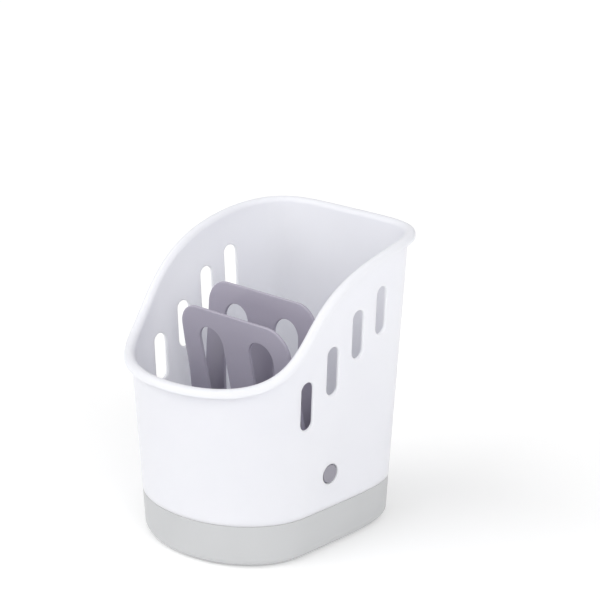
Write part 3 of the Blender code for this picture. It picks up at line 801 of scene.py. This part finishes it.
def moulded_plastic(name, low, high, rough, grain, scatter=0.0):
    """Moulded plastic: a fine spark-eroded grain, uneven gloss, faint flow and scuffs.

    low and high are the ends of the colour variation; rough is (shinier, duller); grain is
    the strength of the fine bumps; scatter is the share of light that goes into the plastic.
    """
    n = Nodes(name)
    broad = n.spread(n.noise(BROAD_SCALE, 3.0), 0.0, 1.0)
    n.link(n.tint(broad, low, high), "Base Color")
    dull = n.spread(n.drawn_noise(FLOW_SCALE, 4.0), *rough)
    scuffs = n.drawn_noise(SCUFF_SCALE, 1.0, SCUFF_TURN)
    scuffed = n.spread(scuffs, 0.0, 1.0, SCUFF_START, SCUFF_END)
    n.link(n.maths("ADD", dull, n.maths("MULTIPLY", scuffed, SCUFF_DULL)), "Roughness")
    grain_height = n.spread(n.noise(GRAIN_SCALE, 2.0, 0.6), 0.0, 1.0, 0.25, 0.75)
    surface = n.bump(grain_height, grain, GRAIN_DEPTH)
    n.link(n.bump(broad, WAVE_STRENGTH, WAVE_DEPTH, surface), "Normal")
    n.shader.inputs["IOR"].default_value = PLASTIC_IOR
    if scatter:
        n.shader.inputs["Subsurface Weight"].default_value = scatter
        n.shader.inputs["Subsurface Radius"].default_value = (1.0, 1.0, 1.0)
        n.shader.inputs["Subsurface Scale"].default_value = SCATTER_DEPTH
    return n.material


def rubber(name, colour):
    """Dull rubber with a gritty surface and slightly darker patches."""
    n = Nodes(name)
    patches = n.spread(n.noise(RUBBER_SCALE), 0.0, 1.0)
    n.link(n.tint(patches, [c * 0.92 for c in colour], colour), "Base Color")
    grit = n.noise(GRIT_SCALE, 2.0, 0.6)
    n.link(n.spread(grit, 0.68, 0.85), "Roughness")
    n.link(n.bump(grit, 0.5, GRIT_DEPTH), "Normal")
    return n.material


def even_normals(obj):
    """Creases stay sharp, and flat faces keep the rounded edges beside them from tilting."""
    obj.data.shade_smooth()
    obj.data.set_sharp_from_angle(angle=math.radians(CREASE_DEG))
    step = obj.modifiers.new("normals", "WEIGHTED_NORMAL")
    step.keep_sharp = True
    bpy.context.view_layer.update()
    graph = bpy.context.evaluated_depsgraph_get()
    result = bpy.data.meshes.new_from_object(obj.evaluated_get(graph))
    obj.modifiers.clear()
    obj.data = result


def finish_piece(obj, material, body, node):
    """Give a piece its material and its body, and hide the CAD node that it stands in for."""
    even_normals(obj)
    obj.data.materials.clear()
    obj.data.materials.append(material)
    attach(obj, body)
    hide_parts(node)


# ---------------------------------------------------------------- floor, light and camera

def make_floor():
    """A large pale floor, lit a little as on a light table, and clear when seen from below."""
    bm = bmesh.new()
    bmesh.ops.create_grid(bm, x_segments=8, y_segments=8, size=FLOOR_HALF)
    floor = add_object("studio_floor", bm)
    n = Nodes("studio_floor")
    n.link(n.tint(n.noise(1.5, 2.0), (0.97, 0.97, 0.97), (0.98, 0.98, 0.98)), "Base Color")
    n.shader.inputs["Roughness"].default_value = 0.9
    n.shader.inputs["Emission Color"].default_value = (1.0, 1.0, 1.0, 1.0)
    n.shader.inputs["Emission Strength"].default_value = FLOOR_GLOW
    underside = n.node("ShaderNodeNewGeometry").outputs["Backfacing"]
    n.link(n.maths("SUBTRACT", 1.0, underside), "Alpha")
    floor.data.materials.append(n.material)


def sun_light(name, source, strength, spread_deg):
    """A soft light that comes from the direction of source, over a disc spread_deg wide."""
    light = bpy.data.lights.new(name, "SUN")
    light.energy = strength
    light.angle = math.radians(spread_deg)
    obj = bpy.data.objects.new(name, light)
    bpy.context.scene.collection.objects.link(obj)
    obj.rotation_euler = Vector(source).to_track_quat("Z", "Y").to_euler()


def make_lights():
    """An even white surround, and soft light from overhead, the front left and the right."""
    scene = bpy.context.scene
    scene.view_settings.view_transform = "Standard"
    world = bpy.data.worlds.new("studio")
    world.use_nodes = True
    background = world.node_tree.nodes["Background"]
    background.inputs["Color"].default_value = (1.0, 1.0, 1.0, 1.0)
    background.inputs["Strength"].default_value = WORLD_STRENGTH
    scene.world = world
    for sun in SUNS:
        sun_light(*sun)


def make_camera():
    """The camera, turned about Z by its azimuth, down by its elevation, and rolled."""
    data = bpy.data.cameras.new("camera")
    data.lens, data.sensor_width = CAMERA_LENS, CAMERA_SENSOR
    data.clip_start, data.clip_end = CAMERA_NEAR, CAMERA_FAR
    camera = bpy.data.objects.new("camera", data)
    bpy.context.scene.collection.objects.link(camera)
    camera.location = CAMERA_AT
    turn = Euler((math.radians(90.0 - CAMERA_ELEVATION), 0.0, math.radians(CAMERA_AZIMUTH)), "XYZ")
    roll = Euler((0.0, 0.0, math.radians(CAMERA_ROLL)), "XYZ")
    camera.rotation_mode = "QUATERNION"
    camera.rotation_quaternion = turn.to_quaternion() @ roll.to_quaternion()
    bpy.context.scene.camera = camera


# ---------------------------------------------------------------- build

white = moulded_plastic("white_plastic", (0.786, 0.792, 0.850), (0.811, 0.817, 0.870),
                        (0.30, 0.42), 0.25, scatter=0.85)
light_grey = moulded_plastic("light_grey_plastic", (0.514, 0.521, 0.529), (0.548, 0.555, 0.563),
                             (0.36, 0.50), 0.4, scatter=0.04)
# The holder and the pins are one grey plastic in two copies. The holder's copy is painted lighter:
# painted light that makes up for the light the tub keeps from it. The pins' copy is the plastic's
# own grey.
holder_grey_painted_lighter = moulded_plastic("grey_plastic", (0.410, 0.385, 0.465), (0.438, 0.413, 0.494),
                       (0.16, 0.26), 0.2, scatter=0.04)
plain_grey = moulded_plastic("plain_grey_plastic", (0.275, 0.266, 0.308), (0.295, 0.286, 0.328),
                           (0.16, 0.26), 0.2, scatter=0.04)
foot_rubber = rubber("foot_rubber", (0.42, 0.42, 0.43))

finish_piece(make_basket(), white, "basket", "basket_shell")
finish_piece(make_tray(), light_grey, "base", "drip_tray")
for foot_name, foot in make_feet().items():
    finish_piece(foot, foot_rubber, "base", foot_name)
# The holder takes the grey copy that is painted lighter to stand in for light inside the tub.
finish_piece(make_holder(), holder_grey_painted_lighter, "holder", "sponge_holder")
for pin_name, pin_side in (("pivot_pin_right", 1), ("pivot_pin_left", -1)):
    finish_piece(make_pin(pin_name, pin_side), plain_grey, "holder", pin_name)

make_floor()
make_lights()
make_camera()
